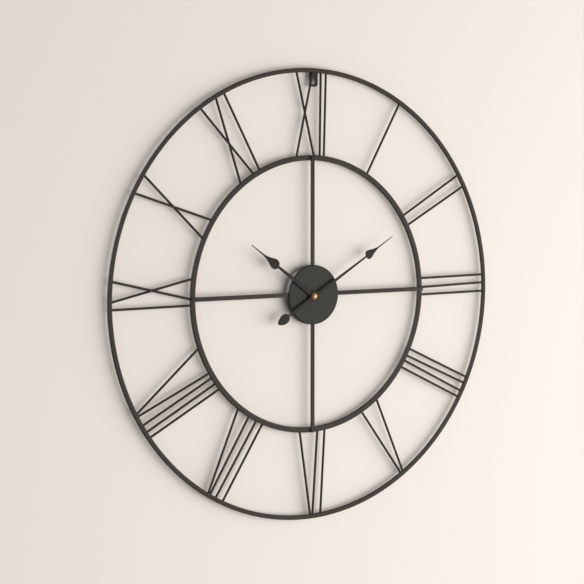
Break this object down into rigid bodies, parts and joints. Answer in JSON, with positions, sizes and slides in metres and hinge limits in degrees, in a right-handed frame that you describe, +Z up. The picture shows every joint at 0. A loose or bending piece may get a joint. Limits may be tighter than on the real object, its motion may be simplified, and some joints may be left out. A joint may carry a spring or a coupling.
{
  "type": "wall clock",
  "caption": "Large open-frame metal wall clock: two rings joined by roman numerals made of rods, a centre cup, spade hands and a battery movement.",
  "frame": {"origin": "where the axis of the hands meets the wall, on the back face of the movement", "axes": "+Z is up towards numeral twelve, -Y is the way the dial faces, +X is towards numeral three"},
  "size_m": [0.7619, 0.0257, 0.762],
  "materials": {
    "dial_metal": "matt black powder coat over steel bar",
    "cup_metal": "satin black enamel over spun steel",
    "hand_metal": "satin black lacquer over sheet",
    "case_plastic": "moulded ABS",
    "brass": "turned brass",
    "plated_steel": "zinc plated steel",
    "gasket_rubber": "soft black rubber",
    "board": "green solder mask",
    "can_metal": "drawn nickel can",
    "chip_resin": "black potting resin",
    "bobbin_plastic": "natural nylon",
    "winding": "enamelled copper wire",
    "core_iron": "soft iron sheet",
    "contact_metal": "nickel plated spring steel",
    "wheel_plastic": "natural acetal",
    "knob_plastic": "natural acetal",
    "magnet": "sintered magnet",
    "battery_jacket": "printed film jacket, plain"
  },
  "bodies": {
    "clock_frame": {"outer_ring": "dial_metal", "inner_ring": "dial_metal", "numeral_one": "dial_metal", "numeral_two": "dial_metal", "numeral_three": "dial_metal", "numeral_four": "dial_metal", "numeral_five": "dial_metal", "numeral_six": "dial_metal", "numeral_seven": "dial_metal", "numeral_eight": "dial_metal", "numeral_nine": "dial_metal", "numeral_ten": "dial_metal", "numeral_eleven": "dial_metal", "numeral_twelve": "dial_metal", "spoke_top": "dial_metal", "spoke_right": "dial_metal", "spoke_bottom": "dial_metal", "spoke_left": "dial_metal", "centre_cup": "cup_metal", "hanger_tab": "dial_metal", "movement_case": "case_plastic", "rear_cover": "case_plastic", "train_bridge": "case_plastic", "threaded_bush": "brass", "rubber_gasket": "gasket_rubber", "dial_washer": "plated_steel", "hex_nut": "brass", "circuit_board": "board", "quartz_crystal": "can_metal", "clock_chip": "chip_resin", "coil_bobbin": "bobbin_plastic", "coil_winding": "winding", "coil_core": "core_iron", "stator": "core_iron", "contact_plus": "contact_metal", "contact_minus": "contact_metal"},
    "minute_group": {"minute_arbor": "brass", "clutch_spring": "plated_steel", "minute_hand": "hand_metal", "minute_collet": "brass", "minute_nut": "brass"},
    "hour_group": {"hour_wheel": "wheel_plastic", "hour_hand": "hand_metal", "hour_collet": "brass"},
    "minute_wheel": {"minute_wheel": "wheel_plastic"},
    "setting_knob": {"setting_knob": "knob_plastic"},
    "centre_wheel": {"centre_wheel": "wheel_plastic"},
    "third_wheel": {"third_wheel": "wheel_plastic"},
    "seconds_wheel": {"seconds_wheel": "wheel_plastic"},
    "middle_wheel": {"middle_wheel": "wheel_plastic"},
    "rotor": {"rotor_pinion": "wheel_plastic", "rotor_magnet": "magnet"},
    "battery": {"battery": "battery_jacket"}
  },
  "joints": [
    {"name": "minute_turn", "type": "hinge", "parent": "clock_frame", "child": "minute_group", "pos_m": [0, 0, 0], "axis": [0, 1, 0], "continuous": true},
    {"name": "hour_turn", "type": "hinge", "parent": "clock_frame", "child": "hour_group", "pos_m": [0, 0, 0], "axis": [0, 1, 0], "continuous": true},
    {"name": "minute_wheel_turn", "type": "hinge", "parent": "clock_frame", "child": "minute_wheel", "pos_m": [-0.00846, 0, 0.00308], "axis": [0, 1, 0], "continuous": true},
    {"name": "knob_turn", "type": "hinge", "parent": "clock_frame", "child": "setting_knob", "pos_m": [-0.01154, 0, 0.01154], "axis": [0, 1, 0], "continuous": true},
    {"name": "seconds_turn", "type": "hinge", "parent": "clock_frame", "child": "seconds_wheel", "pos_m": [0, 0, 0], "axis": [0, 1, 0], "continuous": true},
    {"name": "third_turn", "type": "hinge", "parent": "clock_frame", "child": "third_wheel", "pos_m": [0.00958, 0, 0.00349], "axis": [0, 1, 0], "continuous": true},
    {"name": "centre_turn", "type": "hinge", "parent": "clock_frame", "child": "centre_wheel", "pos_m": [0, 0, 0], "axis": [0, 1, 0], "continuous": true},
    {"name": "middle_turn", "type": "hinge", "parent": "clock_frame", "child": "middle_wheel", "pos_m": [-0.00092, 0, 0.01046], "axis": [0, 1, 0], "continuous": true},
    {"name": "rotor_turn", "type": "hinge", "parent": "clock_frame", "child": "rotor", "pos_m": [0.00178, 0, 0.01514], "axis": [0, 1, 0], "continuous": true},
    {"name": "battery_lift", "type": "slide", "parent": "clock_frame", "child": "battery", "axis": [0, 1, 0], "range_m": [0, 0.02]}
  ],
  "couplings": [
    {"joint": "hour_turn", "follows": "minute_turn", "ratio": 0.083333},
    {"joint": "minute_wheel_turn", "follows": "minute_turn", "ratio": -0.33333},
    {"joint": "knob_turn", "follows": "minute_turn", "ratio": 1},
    {"joint": "third_turn", "follows": "seconds_turn", "ratio": -0.13333},
    {"joint": "centre_turn", "follows": "seconds_turn", "ratio": 0.016667},
    {"joint": "middle_turn", "follows": "seconds_turn", "ratio": -6},
    {"joint": "rotor_turn", "follows": "seconds_turn", "ratio": 30}
  ]
}
